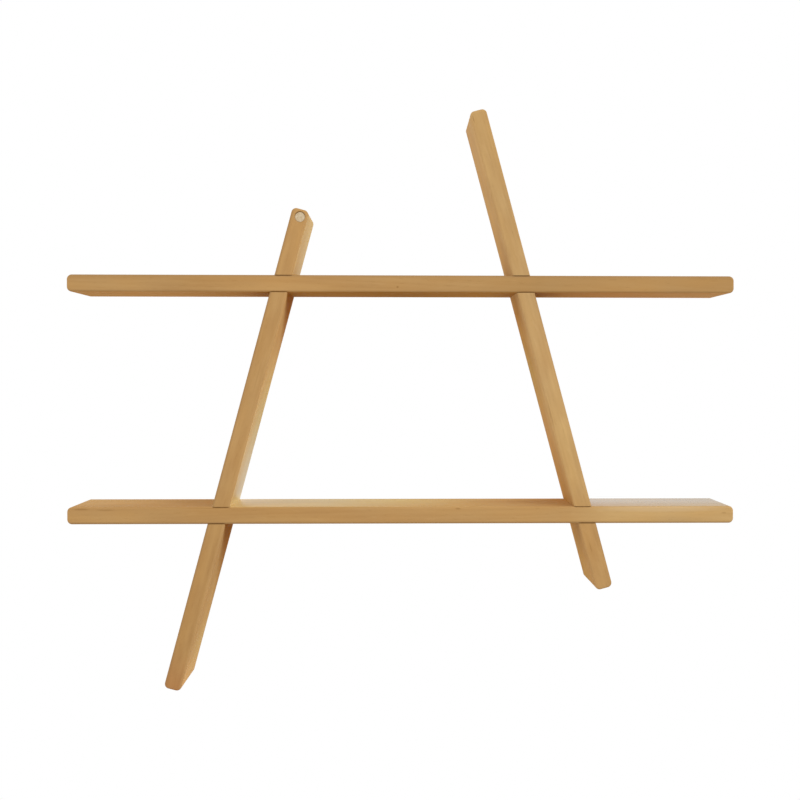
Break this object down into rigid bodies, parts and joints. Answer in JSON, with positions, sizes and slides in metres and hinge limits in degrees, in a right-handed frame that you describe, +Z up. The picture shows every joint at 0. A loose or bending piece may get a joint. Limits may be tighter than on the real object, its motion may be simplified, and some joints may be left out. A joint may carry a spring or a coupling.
{
  "type": "wall shelf",
  "caption": "Wall shelf of level oak boards crossed by leaning uprights in slanted halving joints, hung on keyhole plates sunk in its back edge.",
  "frame": {"origin": "on the wall plane, in the middle of the upper shelf's back edge", "axes": "+X right along the shelves as seen from the room, +Y into the wall, +Z up"},
  "size_m": [0.9, 0.12, 0.7844],
  "materials": {
    "oak": "honey oak under a clear satin lacquer, grain along each board",
    "pale_wood": "pale close-grained wood, sanded",
    "plate_steel": "zinc-plated sheet steel",
    "screw_steel": "yellow-tinted zinc-plated steel"
  },
  "bodies": {
    "root": {"upper_shelf": "oak", "lower_shelf": "oak", "left_upright": "oak", "right_upright": "oak", "round_plug": "pale_wood", "left_hanger": "plate_steel", "right_hanger": "plate_steel", "hanger_screws": "screw_steel", "joint_screws": "screw_steel"}
  },
  "joints": []
}
